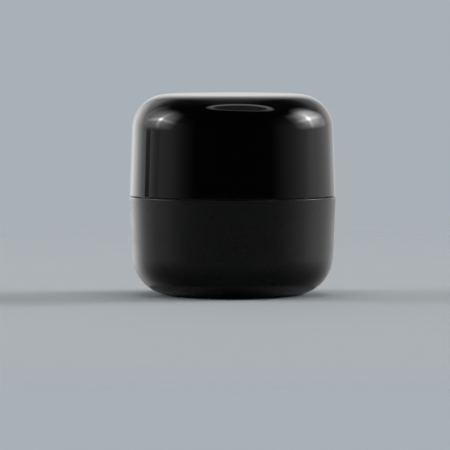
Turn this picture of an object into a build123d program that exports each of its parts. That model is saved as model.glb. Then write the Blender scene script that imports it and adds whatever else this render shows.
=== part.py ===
from build123d import *
import math
import os

# A double-wall cream jar of the 50 ml size with a weighted screw lid. It stands on Z = 0 with its
# axis on Z, and everything is in millimetres. The jar is a matt outer shell round a white cup,
# and the lid is a gloss outer shell round a threaded inner cap.

# Outside shape
HEIGHT = 60.6                # with the lid on
JAR_RADIUS = 31.0            # the widest place, at the jar's rim
LID_RADIUS = 30.85           # at the lid's lower edge, just inside the jar's rim
JAR_RIM_Z = 29.6             # top edge of the jar's outer shell
SEAM_GAP = 0.3               # between that edge and the lid's lower edge
LID_RIM_Z = JAR_RIM_Z + SEAM_GAP
JAR_DRAFT = 2.4              # degrees that the side leans inwards below the seam
LID_DRAFT = 2.0              # and above it
JAR_CORNER_RADIUS = 12.0     # rounding between the side and the foot
LID_CORNER_RADIUS = 10.5     # rounding between the side and the top
CROWN_RADIUS = 650.0         # the top is very slightly domed
RIM_EDGE_RADIUS = 0.2        # softened edge on both sides of the seam

# Jar outer shell
JAR_WALL = 2.4
JAR_FLOOR_Z = 2.4            # inside of the shell's bottom
FOOT_HOLE_RADIUS = 15.0      # opening in the bottom, closed by the base plate
JAR_INNER_CORNER = 9.6
LEDGE_Z = 28.0               # step inside the rim that carries the cup's flange
LIP_RADIUS = 29.5            # inside of the thin lip round the cup's flange

# Cup
CUP_FLOOR_Z = 6.6
CUP_WALL = 1.4
CUP_CORNER_RADIUS = 6.0      # inside, between the wall and the floor
MOUTH_RADIUS = 23.0
CUP_DRAFT = 1.8              # degrees that the bore narrows downwards
NECK_RADIUS = 25.2           # outside of the neck, at the root of its thread
NECK_TOP_Z = 41.0
FLANGE_TOP_Z = JAR_RIM_Z - 0.2
FLANGE_RADIUS = 29.4
SHOULDER_Z = LID_RIM_Z + 0.3 # raised shoulder that stands just inside the lid's edge
SHOULDER_RADIUS = 28.5
SKIRT_RADIUS = 28.25         # skirt that snaps down into the outer shell
SKIRT_WALL = 1.1
SKIRT_END_Z = 22.4
CUP_BEAD_Z = 24.0
CUP_BEAD_TIP = 28.6
EDGE_RADIUS = 0.4            # small roundings on moulded edges

# Screw thread, right-handed, with two starts
LEAD = 8.0                   # rise in one full turn
STARTS = 2
THREAD_DEPTH = 0.9
THREAD_ROOT_WIDTH = 1.7
THREAD_TIP_WIDTH = 0.9
THREAD_EMBED = 0.3           # how far a ridge is sunk into the wall that carries it
NECK_THREAD_Z = 33.0         # middle of a neck ridge where it starts
NECK_THREAD_SWEEP = 240.0    # degrees
CAP_THREAD_START = 20.0      # degrees after the start of the neck's ridge
CAP_THREAD_SWEEP = 180.0
THREAD_PLAY = 0.2            # between the flanks of the two threads, lid on

# Lid inner cap
CAP_BORE_RADIUS = 26.5
CAP_SKIRT_RADIUS = 28.0
CAP_FOOT_Z = LID_RIM_Z + 0.8
CAP_FOOT_TOP_Z = CAP_FOOT_Z + 1.5
CAP_FOOT_RADIUS = 28.65
CAP_CEILING_Z = 43.4
CAP_TOP_Z = 44.8
CAP_CORNER_RADIUS = 1.0
CAP_BEAD_Z = CAP_FOOT_Z + 0.7
CAP_BEAD_TIP = 29.0
GRIP_RIBS = 12               # upright ribs between the inner cap and the lid shell
GRIP_RIB_WIDTH = 1.0
GRIP_RIB_TIP = 28.3
GRIP_RIB_LOW_Z = 33.4
GRIP_RIB_HIGH_Z = 42.4
COLLAR_RADIUS = 17.6         # collar that holds the weight against the lid's top
COLLAR_WALL = 1.4
WEBS = 6                     # webs that brace the collar
WEB_WIDTH = 1.2
WEB_REACH = 25.0
WEB_HEIGHT = 3.0

# Lid outer shell
LID_WALL = 2.0
LID_CEILING_Z = 58.2
LID_INNER_CORNER = 8.5
WEIGHT_RING_RADIUS = 18.3    # inside of the ring that centres the weight
WEIGHT_RING_WALL = 1.2
WEIGHT_RING_DROP = 2.2

# Steel weights
LID_WEIGHT_RADIUS = 18.1
LID_WEIGHT_THICKNESS = 2.9
BASE_WEIGHT_RADIUS = 13.3
BASE_WEIGHT_THICKNESS = 2.8
WEIGHT_EDGE_RADIUS = 0.4

# Sealing disc and liner
DISC_FLANGE_RADIUS = 25.0
DISC_TOP_Z = NECK_TOP_Z + 0.8
DISC_PLUG_RADIUS = 22.7
DISC_PLUG_TAPER = 0.1
DISC_BOTTOM_Z = 38.6
DISC_RECESS_RADIUS = 21.6
DISC_RECESS_Z = 39.4
TAB_LENGTH = 13.0
TAB_THICKNESS = 1.1
TAB_HEIGHT = 2.2
TAB_ROUND = 1.8
LINER_RADIUS = 26.2
LINER_LOW_Z = DISC_TOP_Z + 0.1
LINER_HIGH_Z = CAP_CEILING_Z - 0.1
LINER_EDGE_RADIUS = 0.2

# Base plate and foot pad
PLATE_RADIUS = 14.85
PLATE_LOW_Z = 0.4
PLATE_FLOOR_Z = 2.1
PLATE_RING_TOP_Z = 4.4
PLATE_RING_RADIUS = 13.5
PLATE_BEAD_Z = 2.95
PLATE_BEAD_TIP = 15.25
PAD_RECESS_RADIUS = 13.8
PAD_RADIUS = 13.6
PAD_THICKNESS = 0.9

# Snap beads and the grooves that they sit in
BEAD_ROOT_HEIGHT = 0.9
BEAD_TIP_HEIGHT = 0.4
BEAD_SUNK = 0.2              # how far a bead's root is sunk into its wall
GROOVE_CLEARANCE = 0.15


def jar_side_radius(z):
    """Outside radius of the jar's leaning side at a height."""
    return JAR_RADIUS - (JAR_RIM_Z - z) * math.tan(math.radians(JAR_DRAFT))


def lid_side_radius(z):
    """Outside radius of the lid's leaning side at a height."""
    return LID_RADIUS - (z - LID_RIM_Z) * math.tan(math.radians(LID_DRAFT))


def cup_bore_radius(z):
    """Inside radius of the cup at a height."""
    return MOUTH_RADIUS - (NECK_TOP_Z - z) * math.tan(math.radians(CUP_DRAFT))


def turned(corners):
    """Solid of revolution about Z. Each corner of the half section is (radius, height), or
    (radius, height, rounding) where it is rounded off."""
    points = [corner[:2] for corner in corners]
    roundings = [corner[2] if len(corner) == 3 else 0 for corner in corners]
    outline = FilletPolyline(*points, radius=roundings, close=True)
    return revolve(Plane.XZ * make_face(outline), Axis.Z)


def bead(root_radius, tip_radius, middle_z, extra=0.0):
    """Ring of trapezium section: a snap bead, or with extra the cutter of its groove."""
    root_half = BEAD_ROOT_HEIGHT / 2 + extra
    tip_half = BEAD_TIP_HEIGHT / 2 + extra
    return turned([
        (root_radius, middle_z - root_half),
        (tip_radius + extra, middle_z - tip_half),
        (tip_radius + extra, middle_z + tip_half),
        (root_radius, middle_z + root_half),
    ])


def around(shape, count):
    """Copies of a shape, evenly spaced about Z."""
    return [Rotation(0, 0, index * 360 / count) * shape for index in range(count)]


def thread_ridge(root_radius, tip_radius, middle_z, start_angle, sweep_angle):
    """One helical ridge, standing from root_radius towards tip_radius. middle_z is the height
    of its middle at its start."""
    outwards = math.copysign(1, tip_radius - root_radius)
    sunk_radius = root_radius - outwards * THREAD_EMBED
    profile = Plane.XZ * make_face(Polyline(
        (sunk_radius, -THREAD_ROOT_WIDTH / 2),
        (root_radius, -THREAD_ROOT_WIDTH / 2),
        (tip_radius, -THREAD_TIP_WIDTH / 2),
        (tip_radius, THREAD_TIP_WIDTH / 2),
        (root_radius, THREAD_ROOT_WIDTH / 2),
        (sunk_radius, THREAD_ROOT_WIDTH / 2),
        close=True,
    ))
    path = Helix(pitch=LEAD, height=LEAD * sweep_angle / 360, radius=root_radius)
    ridge = sweep(profile, path=path, is_frenet=True)
    return Location((0, 0, middle_z)) * Rotation(0, 0, start_angle) * ridge


def thread_width_at(height):
    """Width of a ridge at a height above its root."""
    return THREAD_ROOT_WIDTH - (THREAD_ROOT_WIDTH - THREAD_TIP_WIDTH) * height / THREAD_DEPTH


def cap_thread_drop():
    """How far below the neck's ridge the cap's ridge runs, so that their flanks nearly touch."""
    overlap_height = CAP_BORE_RADIUS - THREAD_DEPTH - NECK_RADIUS
    return (thread_width_at(overlap_height) + THREAD_TIP_WIDTH) / 2 + THREAD_PLAY


def jar_outer_shell():
    """Matt outer wall of the jar, open at the top for the cup and below for the base plate."""
    shell = turned([
        (FOOT_HOLE_RADIUS, 0),
        (jar_side_radius(0), 0, JAR_CORNER_RADIUS),
        (JAR_RADIUS, JAR_RIM_Z, RIM_EDGE_RADIUS),
        (LIP_RADIUS, JAR_RIM_Z),
        (LIP_RADIUS, LEDGE_Z),
        (jar_side_radius(LEDGE_Z) - JAR_WALL, LEDGE_Z),
        (jar_side_radius(JAR_FLOOR_Z) - JAR_WALL, JAR_FLOOR_Z, JAR_INNER_CORNER),
        (FOOT_HOLE_RADIUS, JAR_FLOOR_Z),
    ])
    wall_radius = jar_side_radius(CUP_BEAD_Z) - JAR_WALL
    return shell - bead(wall_radius - BEAD_SUNK, CUP_BEAD_TIP, CUP_BEAD_Z, GROOVE_CLEARANCE)


def inner_cup():
    """White cup that holds the cream, with the threaded neck and the flange that snaps it in."""
    cup_base_z = CUP_FLOOR_Z - CUP_WALL
    cup = turned([
        (0, CUP_FLOOR_Z),
        (cup_bore_radius(CUP_FLOOR_Z), CUP_FLOOR_Z, CUP_CORNER_RADIUS),
        (MOUTH_RADIUS, NECK_TOP_Z, EDGE_RADIUS),
        (NECK_RADIUS, NECK_TOP_Z, EDGE_RADIUS),
        (NECK_RADIUS, SHOULDER_Z, EDGE_RADIUS),
        (SHOULDER_RADIUS, SHOULDER_Z, EDGE_RADIUS),
        (SHOULDER_RADIUS, FLANGE_TOP_Z),
        (FLANGE_RADIUS, FLANGE_TOP_Z, EDGE_RADIUS),
        (FLANGE_RADIUS, LEDGE_Z),
        (SKIRT_RADIUS, LEDGE_Z),
        (SKIRT_RADIUS, SKIRT_END_Z),
        (SKIRT_RADIUS - SKIRT_WALL, SKIRT_END_Z),
        (SKIRT_RADIUS - SKIRT_WALL, LEDGE_Z),
        (cup_bore_radius(LEDGE_Z) + CUP_WALL, LEDGE_Z),
        (cup_bore_radius(cup_base_z) + CUP_WALL, cup_base_z, CUP_CORNER_RADIUS + CUP_WALL),
        (0, cup_base_z),
    ])
    cup += bead(SKIRT_RADIUS - BEAD_SUNK, CUP_BEAD_TIP, CUP_BEAD_Z)
    ridge = thread_ridge(
        NECK_RADIUS, NECK_RADIUS + THREAD_DEPTH, NECK_THREAD_Z, 0, NECK_THREAD_SWEEP)
    return cup + around(ridge, STARTS)


def base_plate():
    """Plate that snaps into the bottom opening and holds the base weight in its ring."""
    plate = turned([
        (0, PAD_THICKNESS),
        (PAD_RECESS_RADIUS, PAD_THICKNESS),
        (PAD_RECESS_RADIUS, PLATE_LOW_Z),
        (PLATE_RADIUS, PLATE_LOW_Z),
        (PLATE_RADIUS, PLATE_RING_TOP_Z),
        (PLATE_RING_RADIUS, PLATE_RING_TOP_Z),
        (PLATE_RING_RADIUS, PLATE_FLOOR_Z),
        (0, PLATE_FLOOR_Z),
    ])
    return plate + bead(PLATE_RADIUS - BEAD_SUNK, PLATE_BEAD_TIP, PLATE_BEAD_Z)


def foot_pad():
    """Thin rubber pad in the plate's recess, level with the foot."""
    return turned([
        (0, 0),
        (PAD_RADIUS, 0),
        (PAD_RADIUS, PAD_THICKNESS),
        (0, PAD_THICKNESS),
    ])


def steel_disc(radius, low_z, thickness):
    """Turned steel weight with softened edges."""
    return turned([
        (0, low_z),
        (radius, low_z, WEIGHT_EDGE_RADIUS),
        (radius, low_z + thickness, WEIGHT_EDGE_RADIUS),
        (0, low_z + thickness),
    ])


def base_weight():
    """Steel disc inside the base plate's ring."""
    return steel_disc(BASE_WEIGHT_RADIUS, PLATE_FLOOR_Z, BASE_WEIGHT_THICKNESS)


def lid_weight():
    """Steel disc under the lid's top."""
    return steel_disc(LID_WEIGHT_RADIUS, LID_CEILING_Z - LID_WEIGHT_THICKNESS, LID_WEIGHT_THICKNESS)


def sealing_disc():
    """Loose dished disc that plugs the mouth, lifted out by the tab in its middle."""
    disc = turned([
        (0, DISC_RECESS_Z),
        (DISC_RECESS_RADIUS, DISC_RECESS_Z, EDGE_RADIUS),
        (DISC_RECESS_RADIUS, DISC_TOP_Z),
        (DISC_FLANGE_RADIUS, DISC_TOP_Z),
        (DISC_FLANGE_RADIUS, NECK_TOP_Z),
        (DISC_PLUG_RADIUS, NECK_TOP_Z),
        (DISC_PLUG_RADIUS - DISC_PLUG_TAPER, DISC_BOTTOM_Z, EDGE_RADIUS),
        (0, DISC_BOTTOM_Z),
    ])
    sunk_z = (DISC_BOTTOM_Z + DISC_RECESS_Z) / 2
    height = DISC_RECESS_Z + TAB_HEIGHT - sunk_z
    tab = Location((0, 0, sunk_z)) * Box(
        TAB_LENGTH, TAB_THICKNESS, height, align=(Align.CENTER, Align.CENTER, Align.MIN))
    tab = fillet(tab.edges().filter_by(Axis.Y).group_by(Axis.Z)[-1], TAB_ROUND)
    return disc + tab


def lid_liner():
    """Foam disc inside the inner cap that seals on the mouth. It doesn't turn with the lid."""
    return turned([
        (0, LINER_LOW_Z),
        (LINER_RADIUS, LINER_LOW_Z, LINER_EDGE_RADIUS),
        (LINER_RADIUS, LINER_HIGH_Z, LINER_EDGE_RADIUS),
        (0, LINER_HIGH_Z),
    ])


def lid_inner_cap():
    """Threaded cap inside the lid, with ribs that key it to the lid shell and a collar that
    holds the weight up."""
    weight_z = LID_CEILING_Z - LID_WEIGHT_THICKNESS
    cap = turned([
        (0, CAP_CEILING_Z),
        (CAP_BORE_RADIUS, CAP_CEILING_Z, EDGE_RADIUS),
        (CAP_BORE_RADIUS, CAP_FOOT_Z, EDGE_RADIUS),
        (CAP_FOOT_RADIUS, CAP_FOOT_Z),
        (CAP_FOOT_RADIUS, CAP_FOOT_TOP_Z),
        (CAP_SKIRT_RADIUS, CAP_FOOT_TOP_Z),
        (CAP_SKIRT_RADIUS, CAP_TOP_Z, CAP_CORNER_RADIUS),
        (COLLAR_RADIUS, CAP_TOP_Z),
        (COLLAR_RADIUS, weight_z),
        (COLLAR_RADIUS - COLLAR_WALL, weight_z),
        (COLLAR_RADIUS - COLLAR_WALL, CAP_TOP_Z),
        (0, CAP_TOP_Z),
    ])
    cap += bead(CAP_FOOT_RADIUS - BEAD_SUNK, CAP_BEAD_TIP, CAP_BEAD_Z)

    rib_root = CAP_SKIRT_RADIUS - CAP_CORNER_RADIUS
    rib = Location((rib_root, 0, GRIP_RIB_LOW_Z)) * Box(
        GRIP_RIB_TIP - rib_root, GRIP_RIB_WIDTH, GRIP_RIB_HIGH_Z - GRIP_RIB_LOW_Z,
        align=(Align.MIN, Align.CENTER, Align.MIN))
    web_root = COLLAR_RADIUS - COLLAR_WALL / 2
    web_low_z = (CAP_CEILING_Z + CAP_TOP_Z) / 2
    web = Location((web_root, 0, web_low_z)) * Box(
        WEB_REACH - web_root, WEB_WIDTH, CAP_TOP_Z + WEB_HEIGHT - web_low_z,
        align=(Align.MIN, Align.CENTER, Align.MIN))

    start_z = NECK_THREAD_Z - cap_thread_drop() + LEAD * CAP_THREAD_START / 360
    ridge = thread_ridge(
        CAP_BORE_RADIUS, CAP_BORE_RADIUS - THREAD_DEPTH, start_z, CAP_THREAD_START,
        CAP_THREAD_SWEEP)
    return cap + around(rib, GRIP_RIBS) + around(web, WEBS) + around(ridge, STARTS)


def crown_z(radius):
    """Height of the domed top at a distance from the axis."""
    return HEIGHT - CROWN_RADIUS + math.sqrt(CROWN_RADIUS ** 2 - radius ** 2)


def rounded(face, corner, radius):
    """The face with its corner nearest to a point rounded off."""
    return fillet(face.vertices().sort_by_distance(corner)[0], radius)


def lid_outer_shell():
    """Gloss outer shell of the lid, with the ring that centres its weight."""
    edge_radius = lid_side_radius(HEIGHT)
    edge = (edge_radius, crown_z(edge_radius))
    edge_angle = math.degrees(math.acos(edge_radius / CROWN_RADIUS))
    ring_low_z = LID_CEILING_Z - WEIGHT_RING_DROP
    ring_outside = WEIGHT_RING_RADIUS + WEIGHT_RING_WALL
    inner_corner = (lid_side_radius(LID_CEILING_Z) - LID_WALL, LID_CEILING_Z)
    outer_rim = (LID_RADIUS, LID_RIM_Z)
    half_section = make_face([
        CenterArc((0, HEIGHT - CROWN_RADIUS), CROWN_RADIUS, edge_angle, 90 - edge_angle),
        Polyline(
            (0, HEIGHT),
            (0, LID_CEILING_Z),
            (WEIGHT_RING_RADIUS, LID_CEILING_Z),
            (WEIGHT_RING_RADIUS, ring_low_z),
            (ring_outside, ring_low_z),
            (ring_outside, LID_CEILING_Z),
            inner_corner,
            (LID_RADIUS - LID_WALL, LID_RIM_Z),
            outer_rim,
            edge,
        ),
    ])
    half_section = rounded(half_section, edge, LID_CORNER_RADIUS)
    half_section = rounded(half_section, inner_corner, LID_INNER_CORNER)
    half_section = rounded(half_section, outer_rim, RIM_EDGE_RADIUS)
    shell = revolve(Plane.XZ * half_section, Axis.Z)
    wall_radius = lid_side_radius(CAP_BEAD_Z) - LID_WALL
    return shell - bead(wall_radius - BEAD_SUNK, CAP_BEAD_TIP, CAP_BEAD_Z, GROOVE_CLEARANCE)


NODES = {
    "jar_outer_shell": jar_outer_shell,
    "inner_cup": inner_cup,
    "base_plate": base_plate,
    "base_weight": base_weight,
    "foot_pad": foot_pad,
    "sealing_disc": sealing_disc,
    "lid_liner": lid_liner,
    "lid_inner_cap": lid_inner_cap,
    "lid_weight": lid_weight,
    "lid_outer_shell": lid_outer_shell,
}

os.makedirs("parts", exist_ok=True)
for name, make in NODES.items():
    export_step(make(), f"parts/{name}.step")
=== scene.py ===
import math

import bmesh
import bpy
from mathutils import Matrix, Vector


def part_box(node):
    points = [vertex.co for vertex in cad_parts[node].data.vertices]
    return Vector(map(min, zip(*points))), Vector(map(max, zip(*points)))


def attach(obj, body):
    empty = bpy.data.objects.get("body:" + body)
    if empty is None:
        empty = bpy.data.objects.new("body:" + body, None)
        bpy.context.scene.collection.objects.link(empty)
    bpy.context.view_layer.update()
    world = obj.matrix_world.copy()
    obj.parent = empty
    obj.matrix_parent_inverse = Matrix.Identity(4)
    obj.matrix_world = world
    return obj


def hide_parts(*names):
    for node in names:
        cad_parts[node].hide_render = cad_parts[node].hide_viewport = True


# The looks of a double-wall cream jar: a gloss black screw lid over a satin black base. Every
# length is in metres, and every place on the jar is worked out from the boxes of the CAD nodes.

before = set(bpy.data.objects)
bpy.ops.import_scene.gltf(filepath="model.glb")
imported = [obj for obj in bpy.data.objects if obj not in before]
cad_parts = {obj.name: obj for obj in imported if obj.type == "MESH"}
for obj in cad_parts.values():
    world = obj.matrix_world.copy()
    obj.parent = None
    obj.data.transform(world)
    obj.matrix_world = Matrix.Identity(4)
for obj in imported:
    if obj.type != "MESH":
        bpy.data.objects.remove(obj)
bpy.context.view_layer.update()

MM = 0.001
COLUMNS = 288                # columns of a turned piece, round the axis
ARC_STEP = math.radians(6)   # longest turn in one step of a rounding in a half section
ROW_STEP = 0.45 * MM         # longest step along a rounding
SHARP_ANGLE = math.radians(32)
AXIS_RADIUS = 0.0001 * MM    # a point nearer than this lies on the axis
SAME_RADIUS = 0.01 * MM      # two radii closer than this are the same
SMALL_COLUMNS = 192          # of the smaller turned pieces
SMALL_STEP = 2 * MM          # along their straight runs


# ---- Reading the frame ----

def size_of(node):
    """Radius, lowest height and highest height of a CAD node that is round about Z."""
    low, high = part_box(node)
    return (high.y - low.y) / 2, low.z, high.z


# ---- Half sections and turned meshes ----

def arc(centre, radius, start, end):
    """Points of an arc, from one angle to the other in the half section's plane."""
    turn = abs(end - start)
    steps = max(2, math.ceil(turn / ARC_STEP), math.ceil(turn * radius / ROW_STEP))
    angles = [start + (end - start) * step / steps for step in range(steps + 1)]
    return [(centre[0] + radius * math.cos(a), centre[1] + radius * math.sin(a)) for a in angles]


def rounded(corners):
    """Points of a closed half section. A corner is (radius, height), or with a third number
    that rounds it off."""
    points = []
    for index, corner in enumerate(corners):
        here = Vector(corner[:2])
        if len(corner) == 2:
            points.append(tuple(here))
            continue
        back = (Vector(corners[index - 1][:2]) - here).normalized()
        onward = (Vector(corners[(index + 1) % len(corners)][:2]) - here).normalized()
        half = back.angle(onward) / 2
        centre = here + (back + onward).normalized() * corner[2] / math.sin(half)
        first = here + back * corner[2] / math.tan(half) - centre
        last = here + onward * corner[2] / math.tan(half) - centre
        start = math.atan2(first.y, first.x)
        turn = math.remainder(math.atan2(last.y, last.x) - start, math.tau)
        points += arc(centre, corner[2], start, start + turn)
    return points


def divided(points, step, fine_radius=0.0, fine_step=0.0):
    """A closed half section whose long straight runs are divided into steps. The run that stands
    at fine_radius is divided into fine steps, for a thread."""
    result = []
    for start, end in zip(points, points[1:] + points[:1]):
        on_axis = max(start[0], end[0]) < AXIS_RADIUS
        off_fine = max(abs(start[0] - fine_radius), abs(end[0] - fine_radius))
        longest = fine_step if fine_step and off_fine < SAME_RADIUS else step
        count = 1 if on_axis else max(1, math.ceil(math.dist(start, end) / longest))
        result += [tuple(Vector(start).lerp(Vector(end), index / count)) for index in range(count)]
    return result


def mesh_object(name, shape):
    """An object from a bmesh, smooth except where its faces meet at a sharp angle."""
    bmesh.ops.recalc_face_normals(shape, faces=shape.faces)
    for face in shape.faces:
        face.smooth = True
    for edge in shape.edges:
        edge.smooth = len(edge.link_faces) == 2 and edge.calc_face_angle() < SHARP_ANGLE
    mesh = bpy.data.meshes.new(name)
    shape.to_mesh(mesh)
    shape.free()
    made = bpy.data.objects.new(name, mesh)
    bpy.context.scene.collection.objects.link(made)
    return made


def turned(name, outline, shift=None, columns=COLUMNS, closed=True):
    """A closed half section turned about Z, or an open line that makes a sheet. shift(angle,
    radius, height) changes the radius of a point, as a thread does."""
    shape = bmesh.new()
    rings = []
    for radius, height in outline:
        if radius < AXIS_RADIUS:
            rings.append([shape.verts.new((0, 0, height))])
            continue
        ring = []
        for column in range(columns):
            angle = math.tau * column / columns
            out = radius + (shift(angle, radius, height) if shift else 0)
            ring.append(shape.verts.new((out * math.cos(angle), out * math.sin(angle), height)))
        rings.append(ring)
    for ring, following in zip(rings, rings[1:] + rings[:1] if closed else rings[1:]):
        if len(ring) == 1 and len(following) == 1:
            continue
        for column in range(columns):
            after = (column + 1) % columns
            corners = [ring[column % len(ring)], ring[after % len(ring)],
                       following[after % len(following)], following[column % len(following)]]
            shape.faces.new(list(dict.fromkeys(corners)))
    return mesh_object(name, shape)


def slab(name, length, thickness, height, rounding, low):
    """An upright slab along X that stands at low, with its top corners rounded off and the rims
    of its two faces softened."""
    outline = rounded([
        (-length / 2, low), (length / 2, low),
        (length / 2, low + height, rounding), (-length / 2, low + height, rounding)])
    shape = bmesh.new()
    face = shape.faces.new([shape.verts.new((x, -thickness / 2, z)) for x, z in outline])
    grown = bmesh.ops.extrude_face_region(shape, geom=[face])
    moved = [item for item in grown["geom"] if isinstance(item, bmesh.types.BMVert)]
    bmesh.ops.translate(shape, verts=moved, vec=(0, thickness, 0))
    rims = [edge for edge in shape.edges if edge.verts[0].co.y == edge.verts[1].co.y]
    softened = 0.3 * thickness
    bmesh.ops.bevel(shape, geom=rims, offset=softened, segments=3, affect="EDGES")
    return mesh_object(name, shape)


def joined(name, solids):
    """One object from solids that overlap, fused together."""
    for other in solids[1:]:
        fuse = solids[0].modifiers.new("fuse", "BOOLEAN")
        fuse.operation = "UNION"
        fuse.solver = "MANIFOLD"
        fuse.object = other
    shape = bmesh.new()
    shape.from_object(solids[0], bpy.context.evaluated_depsgraph_get())
    for solid in solids:
        bpy.data.objects.remove(solid)
    return mesh_object(name, shape)


# ---- Screw thread ----

LEAD = 8.0 * MM              # rise in one full turn
STARTS = 2
THREAD_DEPTH = 0.9 * MM
THREAD_ROOT = 1.7 * MM       # width of a ridge at its root, and then at its tip
THREAD_TIP = 0.9 * MM
THREAD_FADE = math.radians(22)    # turn over which a ridge fades out at each end
THREAD_STEP = 0.16 * MM      # between the rows of the wall that carries it


def thread(wall_radius, start_height, sweep):
    """A shift for turned() that raises a thread's ridges from a wall. Each ridge climbs through
    the angle sweep from start_height, and fades out at its ends."""
    def shift(angle, radius, height):
        if abs(radius - wall_radius) > SAME_RADIUS:
            return 0.0
        rise = 0.0
        for start in range(STARTS):
            along = (angle - start * math.tau / STARTS) % math.tau
            off = abs(height - start_height - LEAD * along / math.tau)
            flank = (THREAD_ROOT / 2 - off) / ((THREAD_ROOT - THREAD_TIP) / 2)
            flank = min(1.0, max(0.0, flank))
            fade = min(1.0, along / THREAD_FADE, max(0.0, (sweep - along) / THREAD_FADE))
            rise = max(rise, flank * flank * (3 - 2 * flank) * math.sin(fade * math.pi / 2))
        return THREAD_DEPTH * rise
    return shift


# ---- Shader nodes ----

def add(tree, kind, inputs=None, **settings):
    """A new node with its settings, and with its inputs linked or set."""
    node = tree.nodes.new(kind)
    for name, value in settings.items():
        setattr(node, name, value)
    for key, value in (inputs or {}).items():
        if isinstance(value, bpy.types.NodeSocket):
            tree.links.new(value, node.inputs[key])
        else:
            node.inputs[key].default_value = value
    return node


def calc(tree, operation, *values):
    """The result of a Math node."""
    node = tree.nodes.new("ShaderNodeMath")
    node.operation = operation
    for socket, value in zip(node.inputs, values):
        if isinstance(value, bpy.types.NodeSocket):
            tree.links.new(value, socket)
        else:
            socket.default_value = value
    return node.outputs["Value"]


def between(tree, value, start, end, low=0.0, high=1.0, kind="SMOOTHSTEP"):
    """low where value is at or before start, high at or past end, and a ramp between."""
    ramp = add(tree, "ShaderNodeMapRange", {
        "Value": value, "From Min": start, "From Max": end, "To Min": low, "To Max": high,
    }, interpolation_type=kind)
    return ramp.outputs["Result"]


def place(tree):
    """A point's place on the piece, in metres."""
    return add(tree, "ShaderNodeTexCoord").outputs["Object"]


def grain(tree, size, detail=2.0, stretch=(1, 1, 1)):
    """Noise from 0 to 1 whose blots are about size across."""
    scaled = add(tree, "ShaderNodeMapping", {"Vector": place(tree), "Scale": stretch})
    noise = add(tree, "ShaderNodeTexNoise", {
        "Vector": scaled.outputs["Vector"], "Scale": 1 / size, "Detail": detail})
    return noise.outputs["Fac"]


def bumped(tree, height, depth):
    """A normal for a height from 0 to 1 that stands for depth in metres."""
    bump = add(tree, "ShaderNodeBump", {"Height": height, "Strength": 1.0, "Distance": depth})
    return bump.outputs["Normal"]


def blended(tree, factor, first, second):
    """A colour that goes from first to second with factor."""
    mix = tree.nodes.new("ShaderNodeMix")
    mix.data_type = "RGBA"
    tree.links.new(factor, mix.inputs["Factor"])
    mix.inputs["A"].default_value = (*first, 1)
    mix.inputs["B"].default_value = (*second, 1)
    return mix.outputs["Result"]


def new_material(name, **constants):
    """A material, its node tree and its shader. Constants are named like the shader's sockets,
    with _ for a space."""
    material = bpy.data.materials.new(name)
    material.use_nodes = True
    tree = material.node_tree
    shader = tree.nodes["Principled BSDF"]
    for socket, value in constants.items():
        shader.inputs[socket.replace("_", " ")].default_value = value
    return material, tree, shader


def feed(tree, shader, **sockets):
    """Links node outputs to the shader's sockets."""
    for socket, output in sockets.items():
        tree.links.new(output, shader.inputs[socket.replace("_", " ")])


# ---- Materials ----

def gloss_black():
    """Polished black moulding: nearly a mirror, with a faint waviness and fine rub marks."""
    material, tree, shader = new_material("polished_black", IOR=1.5)
    colour = blended(tree, grain(tree, 9 * MM), (0.0012, 0.0012, 0.0013), (0.0022, 0.0022, 0.0023))
    rubbed = grain(tree, 0.5 * MM, 3.0, (1, 1, 0.12))
    smear = grain(tree, 12 * MM, 3.0)
    roughness = calc(tree, "ADD", between(tree, smear, 0.35, 0.7, 0.035, 0.055),
                     between(tree, rubbed, 0.55, 0.8, 0.0, 0.02))
    waves = bumped(tree, grain(tree, 7 * MM, 1.0), 0.010 * MM)
    feed(tree, shader, Base_Color=colour, Roughness=roughness, Normal=waves)
    return material


def satin_black():
    """Black moulding from a finely eroded mould, handled a little smoother at its rim."""
    material, tree, shader = new_material("satin_black", IOR=1.45, Specular_IOR_Level=0.5)
    colour = blended(tree, grain(tree, 6 * MM, 4.0), (0.011, 0.011, 0.011), (0.015, 0.015, 0.015))
    height = add(tree, "ShaderNodeSeparateXYZ", {"Vector": place(tree)}).outputs["Z"]
    rim = size_of("jar_outer_shell")[2]
    worn = between(tree, height, rim - 1.2 * MM, rim, 0.0, -0.10)
    mottle = between(tree, grain(tree, 8 * MM, 3.0), 0.3, 0.7, 0.25, 0.31)
    fine = bumped(tree, grain(tree, 0.16 * MM, 1.0), 0.006 * MM)
    feed(tree, shader, Base_Color=colour, Roughness=calc(tree, "ADD", mottle, worn), Normal=fine)
    return material


def moulded(name, dark, light, roughness, depth, grain_size, **constants):
    """Moulded plastic: a slightly uneven colour and finish, over a fine surface grain."""
    material, tree, shader = new_material(name, **constants)
    colour = blended(tree, grain(tree, 7 * MM, 3.0), dark, light)
    finish = between(tree, grain(tree, 4 * MM, 3.0), 0.3, 0.7, roughness - 0.05, roughness + 0.05)
    fine = bumped(tree, grain(tree, grain_size, 1.0), depth)
    feed(tree, shader, Base_Color=colour, Roughness=finish, Normal=fine)
    return material


def foam():
    """Closed-cell foam: small round cells, pressed flat at the surface."""
    material, tree, shader = new_material("foam_white", Sheen_Weight=0.1)
    cells = add(tree, "ShaderNodeTexVoronoi", {"Vector": place(tree), "Scale": 1 / (0.32 * MM)})
    cell = cells.outputs["Distance"]
    colour = blended(tree, cell, (0.84, 0.84, 0.82), (0.70, 0.70, 0.68))
    feed(tree, shader, Base_Color=colour, Normal=bumped(tree, cell, 0.04 * MM),
         Roughness=between(tree, grain(tree, 3 * MM), 0.3, 0.7, 0.82, 0.95))
    return material


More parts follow.
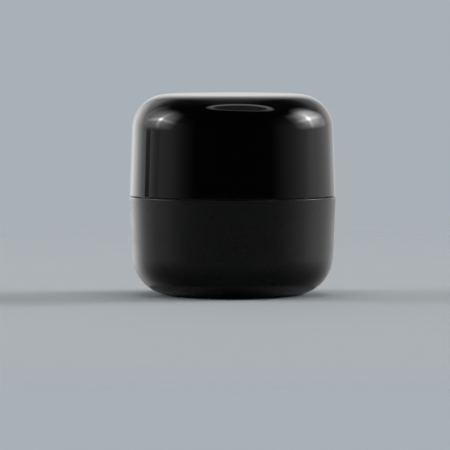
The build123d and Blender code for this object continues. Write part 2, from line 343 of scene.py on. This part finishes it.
def turned_steel():
    """Zinc-plated steel with the rings that a lathe tool leaves."""
    material, tree, shader = new_material("turned_steel", Metallic=1.0, Anisotropic=0.5)
    rings = add(tree, "ShaderNodeTexWave", {
        "Vector": place(tree), "Scale": 1 / (1.5 * MM), "Distortion": 0.6, "Detail": 2.0,
    }, wave_type="RINGS", rings_direction="Z").outputs["Fac"]
    colour = blended(tree, grain(tree, 5 * MM, 4.0), (0.50, 0.50, 0.51), (0.62, 0.62, 0.61))
    feed(tree, shader, Base_Color=colour, Normal=bumped(tree, rings, 0.01 * MM),
         Roughness=between(tree, grain(tree, 1.5 * MM, 3.0), 0.3, 0.7, 0.26, 0.4))
    return material


def dress(node, material):
    """Gives a procedural material to a CAD node that is kept as it is."""
    for slot in bpy.data.objects[node].material_slots:
        slot.material = material


def piece(made, node, body, material):
    """Finishes a new piece: what it stands for, what it rides on, and what it is made of."""
    made.data.materials.clear()
    made.data.materials.append(material)
    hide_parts(node)
    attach(made, body)


# ---- Outer shells ----

JAR_LEAN = math.radians(2.4)
LID_LEAN = math.radians(2.0)
CROWN_RADIUS = 650 * MM      # of the lid's slightly domed top
LID_CORNER = 10.5 * MM
JAR_CORNER = 12 * MM
JAR_WALL = 2.4 * MM
JAR_RIM_WALL = 1.5 * MM      # of the thin rim round the cup's flange
LID_WALL = 2.0 * MM
JAR_INSIDE_CORNER = 9.6 * MM
LID_INSIDE_CORNER = 8.5 * MM
WEIGHT_RING_WALL = 1.2 * MM
WEIGHT_RING_DEPTH = 2.2 * MM
LEDGE_DEPTH = 13.0 * MM      # from the cup's mouth down to the ledge that its flange lies on
SNAP_DEPTH = 4.0 * MM        # from the ledge down to the snap groove and its bead
RIM_EDGE = 0.2 * MM
SMALL_EDGE = 0.15 * MM
SHELL_STEP = 0.9 * MM        # along the shells' straight runs


def groove(wall_radius, tip_radius, height):
    """Corners of a snap groove in an inside wall, from its upper edge to its lower edge."""
    half_mouth = 0.6 * MM
    half_bed = 0.35 * MM
    return [(wall_radius, height + half_mouth), (tip_radius, height + half_bed),
            (tip_radius, height - half_bed), (wall_radius, height - half_mouth)]


def snap_bead(wall_radius, tip_radius, height):
    """Corners of a snap bead on an outside wall, from its upper edge to its lower edge."""
    half_root = 0.42 * MM
    half_tip = 0.2 * MM
    return [(wall_radius, height + half_root), (tip_radius, height + half_tip),
            (tip_radius, height - half_tip), (wall_radius, height - half_root)]


def jar_shell():
    """Satin outer wall of the jar, with the lip round the cup and the opening for the plate."""
    radius, low, high = size_of("jar_outer_shell")
    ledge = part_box("inner_cup")[1].z - LEDGE_DEPTH
    floor = low + JAR_WALL
    hole = size_of("base_plate")[0] - 0.25 * MM

    def side(height):
        return radius - (high - height) * math.tan(JAR_LEAN)

    snap = ledge - SNAP_DEPTH
    corners = [
        (hole, low, SMALL_EDGE),
        (side(low), low, JAR_CORNER),
        (radius, high, RIM_EDGE),
        (radius - JAR_RIM_WALL, high, SMALL_EDGE),
        (radius - JAR_RIM_WALL, ledge),
        (side(ledge) - JAR_WALL, ledge),
        *groove(side(snap) - JAR_WALL, size_of("inner_cup")[0] - 0.65 * MM, snap),
        (side(floor) - JAR_WALL, floor, JAR_INSIDE_CORNER),
        (hole, floor, SMALL_EDGE),
    ]
    return turned("jar_shell", divided(rounded(corners), SHELL_STEP))


def lid_shell():
    """Gloss outer shell of the lid, with its domed top and the ring that centres the weight."""
    radius, low, high = size_of("lid_outer_shell")
    weight_radius, _, ceiling = size_of("lid_weight")
    snap = size_of("lid_inner_cap")[1] + 0.7 * MM

    def side(height):
        return radius - (height - low) * math.tan(LID_LEAN)

    def corner_at(height):
        return side(height) - LID_CORNER / math.cos(LID_LEAN), height

    # The corner's centre moves until its arc touches both the leaning side and the crown.
    crown_centre = (0.0, high - CROWN_RADIUS)
    corner = corner_at(high - LID_CORNER)
    for _ in range(6):
        rise = math.sqrt((CROWN_RADIUS - LID_CORNER) ** 2 - corner[0] ** 2)
        corner = corner_at(crown_centre[1] + rise)
    tangent = math.atan2(corner[1] - crown_centre[1], corner[0])
    top = arc(crown_centre, CROWN_RADIUS, math.pi / 2, tangent)
    shoulder = arc(corner, LID_CORNER, tangent, LID_LEAN)

    ring = weight_radius + 0.2 * MM
    corners = [
        *top[:-1],
        *shoulder,
        (radius, low, RIM_EDGE),
        (radius - LID_WALL, low, SMALL_EDGE),
        *reversed(groove(side(snap) - LID_WALL, size_of("lid_inner_cap")[0] + 0.15 * MM, snap)),
        (side(ceiling) - LID_WALL, ceiling, LID_INSIDE_CORNER),
        (ring + WEIGHT_RING_WALL, ceiling),
        (ring + WEIGHT_RING_WALL, ceiling - WEIGHT_RING_DEPTH, SMALL_EDGE),
        (ring, ceiling - WEIGHT_RING_DEPTH, SMALL_EDGE),
        (ring, ceiling),
        (0.0, ceiling),
    ]
    return turned("lid_shell", divided(rounded(corners), SHELL_STEP))


# ---- Cup, sealing disc, liner and pad ----

CUP_WALL = 1.4 * MM
CUP_EDGE = 0.4 * MM          # rounding of most of the cup's edges
CUP_BORE = 23.0 * MM         # radius at the mouth
CUP_DRAFT = math.radians(1.8)
CUP_BORE_CORNER = 6.0 * MM   # at the bottom of the bore
NECK_RADIUS = 25.2 * MM
SHOULDER_DEPTH = 10.8 * MM   # these are measured down from the mouth
FLANGE_DEPTH = 11.6 * MM
SKIRT_DEPTH = 18.6 * MM
THREAD_START_DEPTH = 8.0 * MM
THREAD_SWEEP = math.radians(240)
SKIRT_WALL = 1.1 * MM
SKIRT_EDGE = 0.3 * MM
CUP_STEP = 1.5 * MM          # along the cup's straight runs


def cup():
    """White cup with its threaded neck, flange and snap skirt."""
    flange_radius, bottom, mouth = size_of("inner_cup")
    floor = bottom + CUP_WALL
    shoulder = mouth - SHOULDER_DEPTH
    flange = mouth - FLANGE_DEPTH
    ledge = mouth - LEDGE_DEPTH
    step_radius = flange_radius - 0.9 * MM
    skirt_radius = flange_radius - 1.15 * MM
    skirt_inside = skirt_radius - SKIRT_WALL
    skirt_end = mouth - SKIRT_DEPTH

    def bore(height):
        return CUP_BORE - (mouth - height) * math.tan(CUP_DRAFT)

    corners = [
        (0.0, floor),
        (bore(floor), floor, CUP_BORE_CORNER),
        (CUP_BORE, mouth, CUP_EDGE),
        (NECK_RADIUS, mouth, CUP_EDGE),
        (NECK_RADIUS, shoulder, CUP_EDGE),
        (step_radius, shoulder, CUP_EDGE),
        (step_radius, flange),
        (flange_radius, flange, CUP_EDGE),
        (flange_radius, ledge, SMALL_EDGE),
        (skirt_radius, ledge),
        *snap_bead(skirt_radius, flange_radius - 0.8 * MM, ledge - SNAP_DEPTH),
        (skirt_radius, skirt_end, SKIRT_EDGE),
        (skirt_inside, skirt_end, SKIRT_EDGE),
        (skirt_inside, ledge, SMALL_EDGE),
        (bore(ledge) + CUP_WALL, ledge, SMALL_EDGE),
        (bore(bottom) + CUP_WALL, bottom, CUP_BORE_CORNER + CUP_WALL),
        (0.0, bottom),
    ]
    outline = divided(rounded(corners), CUP_STEP, NECK_RADIUS, THREAD_STEP)
    ridges = thread(NECK_RADIUS, mouth - THREAD_START_DEPTH, THREAD_SWEEP)
    return turned("cup", outline, ridges)


def sealing_disc():
    """Milky disc that plugs the mouth, with a ribbed tab to lift it by."""
    radius, bottom, top = size_of("sealing_disc")
    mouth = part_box("inner_cup")[1].z
    recess = bottom + 0.8 * MM
    plug = radius - 2.3 * MM
    dish = radius - 3.4 * MM
    corners = [
        (0.0, recess),
        (dish, recess, 0.6 * MM),
        (dish, top, 0.25 * MM),
        (radius, top, 0.3 * MM),
        (radius, mouth, 0.2 * MM),
        (plug, mouth),
        (plug - 0.1 * MM, bottom, 0.4 * MM),
        (0.0, bottom),
    ]
    disc = turned("disc", divided(rounded(corners), SMALL_STEP), columns=SMALL_COLUMNS)
    tab = slab("tab", length=13 * MM, thickness=1.1 * MM, height=recess + 1.8 * MM - bottom,
               rounding=1.8 * MM, low=bottom + 0.4 * MM)
    grips = [
        slab("grip", length=8.6 * MM, thickness=1.5 * MM, height=0.34 * MM,
             rounding=0.1 * MM, low=recess + level * MM)
        for level in (0.55, 1.05, 1.55)
    ]
    return joined("sealing_plug", [disc, tab, *grips])


def liner():
    """Foam liner, with the ring that the mouth has pressed into its lower face."""
    radius, low, high = size_of("lid_liner")
    pressed = low + 0.12 * MM
    outside = NECK_RADIUS - 0.1 * MM
    inside = 21.7 * MM
    slope = 0.2 * MM
    corners = [
        (0.0, high),
        (radius, high, 0.2 * MM),
        (radius, low, 0.2 * MM),
        (outside + slope, low),
        (outside, pressed),
        (inside, pressed),
        (inside - slope, low),
        (0.0, low),
    ]
    return turned("foam_liner", divided(rounded(corners), SMALL_STEP), columns=SMALL_COLUMNS)


def pad():
    """Rubber foot pad with fine rings moulded into its lower face."""
    radius, low, high = size_of("foot_pad")
    pitch = 1.6 * MM
    bed = low + 0.2 * MM
    half_bed = 0.2 * MM
    half_mouth = 0.35 * MM
    corners = [(0.0, high), (radius, high, 0.2 * MM), (radius, low, 0.2 * MM)]
    middle = radius - 1.4 * MM
    while middle > 2 * MM:
        corners += [
            (middle + half_mouth, low),
            (middle + half_bed, bed),
            (middle - half_bed, bed),
            (middle - half_mouth, low),
        ]
        middle -= pitch
    corners.append((0.0, low))
    return turned("rubber_pad", divided(rounded(corners), SMALL_STEP), columns=SMALL_COLUMNS)


# ---- Every piece with its material ----

NEUTRAL = (1, 1, 1)          # red, green and blue light go equally deep into the plastic

white_plastic = moulded(
    "white_polypropylene", (0.80, 0.80, 0.77), (0.84, 0.84, 0.82), roughness=0.36,
    depth=0.003 * MM, grain_size=0.3 * MM,
    Subsurface_Weight=0.12, Subsurface_Scale=0.002, Subsurface_Radius=NEUTRAL)
milky_plastic = moulded(
    "milky_polyethylene", (0.71, 0.72, 0.71), (0.77, 0.78, 0.77), roughness=0.42,
    depth=0.004 * MM, grain_size=0.4 * MM,
    Subsurface_Weight=0.35, Subsurface_Scale=0.003, Subsurface_Radius=NEUTRAL)
rubber = moulded(
    "matt_rubber", (0.026, 0.026, 0.028), (0.036, 0.036, 0.038), roughness=0.85,
    depth=0.03 * MM, grain_size=0.2 * MM)
cap_plastic = moulded(
    "moulded_black", (0.015, 0.015, 0.016), (0.021, 0.021, 0.022), roughness=0.34,
    depth=0.003 * MM, grain_size=0.3 * MM)
plate_plastic = moulded(
    "eroded_black", (0.013, 0.013, 0.014), (0.018, 0.018, 0.019), roughness=0.55,
    depth=0.02 * MM, grain_size=0.18 * MM)
steel = turned_steel()

piece(jar_shell(), "jar_outer_shell", "jar", satin_black())
piece(lid_shell(), "lid_outer_shell", "lid", gloss_black())
piece(cup(), "inner_cup", "jar", white_plastic)
piece(sealing_disc(), "sealing_disc", "disc", milky_plastic)
piece(liner(), "lid_liner", "liner", foam())
piece(pad(), "foot_pad", "jar", rubber)
dress("lid_inner_cap", cap_plastic)
dress("base_plate", plate_plastic)
dress("base_weight", steel)
dress("lid_weight", steel)


# ---- Floor, studio light and camera ----

BACKDROP = (0.395, 0.44, 0.475)
FLOOR_COLOUR = (0.50, 0.535, 0.56)
FLOOR_RADIUS = 0.55
FLOOR_SOLID_RADIUS = 0.15    # the floor fades into the backdrop beyond this
FLOOR_MIDDLE_RADIUS = 0.027  # of the disc under the jar, which the jar mirrors
FLOOR_HEIGHT = -0.02 * MM    # just clear of the foot
FLOOR_COLUMNS = 96
OVERHEAD_HEIGHT = 2.0
OVERHEAD_SIZE = 1.6
OVERHEAD_POWER = 11.0
CAMERA_PLACE = (-0.00228, -1.8, 0.10676)
CAMERA_TILT = math.radians(2.7295)    # down from level
CAMERA_SENSOR = 36.0                  # in millimetres, like the lens
CAMERA_LENS = 479.6


def floor_sheets():
    """Plain round floor that fades into the backdrop at its edge. Its middle is a disc of its
    own, because only that part shows in the jar's reflections."""
    material, tree, shader = new_material(
        "floor_paper", Base_Color=(*FLOOR_COLOUR, 1), Roughness=0.9, Specular_IOR_Level=0.1)
    distance = add(tree, "ShaderNodeVectorMath", {0: place(tree)}, operation="LENGTH")
    solid = between(tree, distance.outputs["Value"], FLOOR_SOLID_RADIUS, FLOOR_RADIUS, 1.0, 0.0)
    feed(tree, shader, Alpha=solid)
    sheets = (("floor_middle", 0.0, FLOOR_MIDDLE_RADIUS, True),
              ("floor", FLOOR_MIDDLE_RADIUS, FLOOR_RADIUS, False))
    for name, inner, outer, mirrored in sheets:
        line = [(inner, FLOOR_HEIGHT), (outer, FLOOR_HEIGHT)]
        made = turned(name, line, columns=FLOOR_COLUMNS, closed=False)
        made.data.materials.append(material)
        made.visible_glossy = mirrored


# The light is a function of direction. Azimuths and elevations are in degrees: azimuth 0 is the
# camera's side, 90 the right and 180 the back. A stop is (angle, brightness).
WALLS_ROUND = [
    (-180, 0.90), (-168, 1.2), (-155, 2.4), (-142, 2.4), (-133, 1.75), (-125, 1.1),
    (-118, 0.86), (-107, 0.70), (-101, 0.45), (-95, 0.34), (-90, 0.48), (-76, 0.42),
    (-58, 0.14), (-44, 0.01), (44, 0.01), (54, 0.10), (70, 0.28), (80, 0.42), (90, 0.58),
    (97, 0.80), (103, 0.88), (112, 0.85), (138, 0.92), (150, 1.15), (165, 1.0), (180, 0.90)]
WALLS_UP = [
    (-60, 0.0), (-30, 0.14), (-18, 0.45), (-6, 1.0), (10, 1.0), (20, 0.68), (25, 0.42),
    (31, 0.34), (39, 0.08), (48, 0.02)]
REAR_UP = [
    (0, 0.0), (12, 0.45), (22, 0.85), (34, 0.95), (42, 0.68), (51, 0.38), (58, 0.20),
    (70, 0.11), (90, 0.10)]
GAP_AZIMUTH = -113.0         # of the dark gap under the left softbox
LEFT_BOX_LEVEL = 1.4
RIGHT_BOX_LEVEL = 2.1
LAMP_LEVEL = 9.0
STREAK_LEVEL = 3.6
LEFT_HAZE_LEVEL = 2.6
RIGHT_HAZE_LEVEL = 6.0
LAMP_EDGE = (0.015, 0.09)    # these four are in parts of a direction
HAZE_REACH = 0.42
HAZE_SHIFT = (0.02, 0.05)    # of the haze from its lamp, sideways and up
STREAK_HALF_WIDTH = 0.09
LEFT_LAMP = (-99.5, 24.5)    # azimuth and elevation
RIGHT_LAMP = (107.2, 23.0)
LEFT_RIBS = ((199, 0.5), (354, 0.55), (84, 0.40), (275, 0.4))    # angle and reach of each rib
RIGHT_RIBS = ((181, 0.50), (354, 0.55), (102, 0.42), (74, 0.36), (264, 0.45))
RING_X, RING_Y = 0.099, -0.06              # centre of the overhead ring, in parts of a direction
RING_HALF_X, RING_HALF_Y = 0.355, 0.23


def profile(tree, value, stops):
    """A curve through stops of (value, result), straight between them."""
    total = stops[0][1]
    for start, end in zip(stops, stops[1:]):
        step = between(tree, value, start[0], end[0], 0.0, end[1] - start[1], "LINEAR")
        total = calc(tree, "ADD", total, step)
    return total


def product(tree, *values):
    """All the values multiplied together."""
    result = values[0]
    for value in values[1:]:
        result = calc(tree, "MULTIPLY", result, value)
    return result


def length(tree, first, second):
    """The length of a flat vector from its two parts."""
    squares = calc(tree, "ADD", product(tree, first, first), product(tree, second, second))
    return calc(tree, "SQRT", squares)


def dot(tree, direction, axis):
    """How far a direction goes along an axis."""
    node = add(tree, "ShaderNodeVectorMath", {0: direction, 1: axis}, operation="DOT_PRODUCT")
    return node.outputs["Value"]


def softbox(tree, azimuth, elevation, left, right, top, slant):
    """1 in the face of a softbox, and 0 outside its soft edges. Each edge is the start and the
    end of a ramp, in degrees. The slanting edge cuts off the corner that is high and right."""
    slanting = calc(tree, "ADD", elevation, product(tree, azimuth, 0.8))
    return product(
        tree,
        between(tree, azimuth, *left),
        between(tree, azimuth, *right, 1.0, 0.0),
        between(tree, elevation, -3.0, 9.0),
        between(tree, elevation, *top, 1.0, 0.0),
        between(tree, slanting, *slant, 1.0, 0.0))


def lamp_star(tree, direction, aim, level, ribs):
    """The lamp that glows through a softbox, with a haze whose brightness is level, and with a
    streak of light along each of the box's ribs. The aim is an azimuth and an elevation."""
    azimuth, elevation = math.radians(aim[0]), math.radians(aim[1])
    centre = Vector((math.sin(azimuth) * math.cos(elevation),
                     -math.cos(azimuth) * math.cos(elevation), math.sin(elevation)))
    sideways = Vector((math.cos(azimuth), math.sin(azimuth), 0))
    across = dot(tree, direction, sideways)
    up = dot(tree, direction, centre.cross(sideways))
    from_lamp = length(tree, across, up)
    from_haze = length(tree, calc(tree, "SUBTRACT", across, HAZE_SHIFT[0]),
                       calc(tree, "SUBTRACT", up, HAZE_SHIFT[1]))
    glow = calc(tree, "ADD", between(tree, from_lamp, *LAMP_EDGE, LAMP_LEVEL, 0.0),
                between(tree, from_haze, 0.0, HAZE_REACH, level, 0.0))
    for angle, reach in ribs:
        glow = calc(tree, "ADD", glow, streak(tree, across, up, math.radians(angle), reach))
    return product(tree, glow, between(tree, dot(tree, direction, centre), 0.0, 0.2))


def streak(tree, across, up, turn, reach):
    """Light along one rib, which leaves the lamp at an angle and fades out at reach."""
    along = calc(tree, "ADD", product(tree, across, math.cos(turn)),
                 product(tree, up, math.sin(turn)))
    aside = calc(tree, "ABSOLUTE", calc(
        tree, "SUBTRACT", product(tree, across, math.sin(turn)),
        product(tree, up, math.cos(turn))))
    return product(
        tree,
        between(tree, along, -0.02, 0.0),
        between(tree, along, 0.0, reach, STREAK_LEVEL, 0.0),
        between(tree, aside, 0.0, STREAK_HALF_WIDTH, 1.0, 0.0))


def overhead_ring(tree, parts):
    """The lit edge of a round reflector that hangs over the jar, brightest at its far side."""
    across = calc(tree, "DIVIDE", calc(tree, "SUBTRACT", parts["X"], RING_X), RING_HALF_X)
    forward = calc(tree, "DIVIDE", calc(tree, "SUBTRACT", parts["Y"], RING_Y), RING_HALF_Y)
    out = length(tree, across, forward)
    brightness = between(tree, forward, -0.8, 0.6, 0.8, 2.3)
    inner_edge = between(tree, forward, 0.2, 1.0, 0.82, 0.12)
    rim = product(tree, brightness, between(tree, out, inner_edge, 0.96),
                  between(tree, out, 1.02, 1.22, 1.0, 0.0))
    inside = between(tree, out, 0.85, 1.0, 0.24, 0.0)
    above = between(tree, parts["Z"], 0.3, 0.5)
    return product(tree, calc(tree, "MAXIMUM", rim, inside), above)


def wall_light(tree, azimuth, elevation):
    """The lit walls of the room, with a dark upright gap under the left softbox."""
    off_gap = calc(tree, "ABSOLUTE", calc(tree, "SUBTRACT", azimuth, GAP_AZIMUTH))
    gap = product(
        tree,
        between(tree, off_gap, 3.2, 4.8, 0.92, 0.0),
        between(tree, elevation, 4.0, 6.5, 1.0, 0.0),
        between(tree, elevation, -3.0, -1.0))
    return product(
        tree, profile(tree, azimuth, WALLS_ROUND), calc(tree, "SUBTRACT", 1.0, gap),
        profile(tree, elevation, WALLS_UP))


def ground_light(tree, elevation):
    """The dim ground of the room, below the horizon."""
    return product(tree, between(tree, elevation, -50.0, -12.0, 0.02, 0.13),
                   between(tree, elevation, -4.0, 0.0, 1.0, 0.0))


def rear_light(tree, parts, elevation):
    """The glow high up behind the jar."""
    aside = calc(tree, "ABSOLUTE", parts["X"])
    return product(
        tree,
        profile(tree, elevation, REAR_UP),
        between(tree, parts["Y"], -0.1, 0.25),
        between(tree, aside, 0.04, 0.26, 1.0, 0.0))


def softbox_light(tree, azimuth, elevation):
    """The two large softboxes, one at each side. Only the right one has its corner cut off."""
    left = softbox(tree, azimuth, elevation, (-141, -129), (-85, -65), (24, 50), (0, 20))
    right = softbox(tree, azimuth, elevation, (68, 98), (128, 150), (34, 45), (128, 140))
    return calc(tree, "MAXIMUM", product(tree, LEFT_BOX_LEVEL, left),
                product(tree, RIGHT_BOX_LEVEL, right))


def star_light(tree, direction, elevation):
    """The lamps of the two softboxes, faded out near the horizon."""
    left = lamp_star(tree, direction, LEFT_LAMP, LEFT_HAZE_LEVEL, LEFT_RIBS)
    right = lamp_star(tree, direction, RIGHT_LAMP, RIGHT_HAZE_LEVEL, RIGHT_RIBS)
    return product(
        tree, calc(tree, "ADD", left, right), between(tree, elevation, 0.5, 8.0))


def studio():
    """Soft studio light from two large softboxes, a bright backdrop and a dark front, as a
    function of direction. The camera itself sees a plain pale backdrop."""
    world = bpy.data.worlds.new("studio")
    bpy.context.scene.world = world
    world.use_nodes = True
    tree = world.node_tree
    tree.nodes.clear()

    direction = add(tree, "ShaderNodeTexCoord").outputs["Generated"]
    parts = add(tree, "ShaderNodeSeparateXYZ", {"Vector": direction}).outputs
    toward = calc(tree, "MULTIPLY", parts["Y"], -1.0)
    azimuth = calc(tree, "DEGREES", calc(tree, "ARCTAN2", parts["X"], toward))
    elevation = calc(tree, "DEGREES", calc(tree, "ARCSINE", parts["Z"]))

    light = wall_light(tree, azimuth, elevation)
    light = calc(tree, "MAXIMUM", light, ground_light(tree, elevation))
    light = calc(tree, "ADD", light, rear_light(tree, parts, elevation))
    light = calc(tree, "MAXIMUM", light, softbox_light(tree, azimuth, elevation))
    light = calc(tree, "ADD", light, star_light(tree, direction, elevation))
    light = calc(tree, "MAXIMUM", light, overhead_ring(tree, parts))

    reflected = add(tree, "ShaderNodeBackground", {"Strength": light}).outputs["Background"]
    plain = add(tree, "ShaderNodeBackground", {"Color": (*BACKDROP, 1)}).outputs["Background"]
    seen = add(tree, "ShaderNodeLightPath").outputs["Is Camera Ray"]
    mix = add(tree, "ShaderNodeMixShader", {0: seen, 1: reflected, 2: plain})
    add(tree, "ShaderNodeOutputWorld", {"Surface": mix.outputs["Shader"]})


def overhead():
    """Large soft light from above. It lights the floor, and isn't seen in the gloss."""
    data = bpy.data.lights.new("overhead", "AREA")
    data.shape = "DISK"
    data.size = OVERHEAD_SIZE
    data.energy = OVERHEAD_POWER
    lamp = bpy.data.objects.new("overhead", data)
    lamp.location = (0, 0, OVERHEAD_HEIGHT)
    lamp.visible_camera = False
    lamp.visible_glossy = False
    bpy.context.scene.collection.objects.link(lamp)


def camera():
    """Camera a little above the jar, looking slightly down on it through a long lens."""
    data = bpy.data.cameras.new("camera")
    data.sensor_width = CAMERA_SENSOR
    data.lens = CAMERA_LENS
    made = bpy.data.objects.new("camera", data)
    made.location = CAMERA_PLACE
    made.rotation_euler = (math.radians(90) - CAMERA_TILT, 0, 0)
    bpy.context.scene.collection.objects.link(made)
    bpy.context.scene.camera = made


floor_sheets()
studio()
overhead()
camera()
bpy.context.scene.view_settings.view_transform = "Standard"
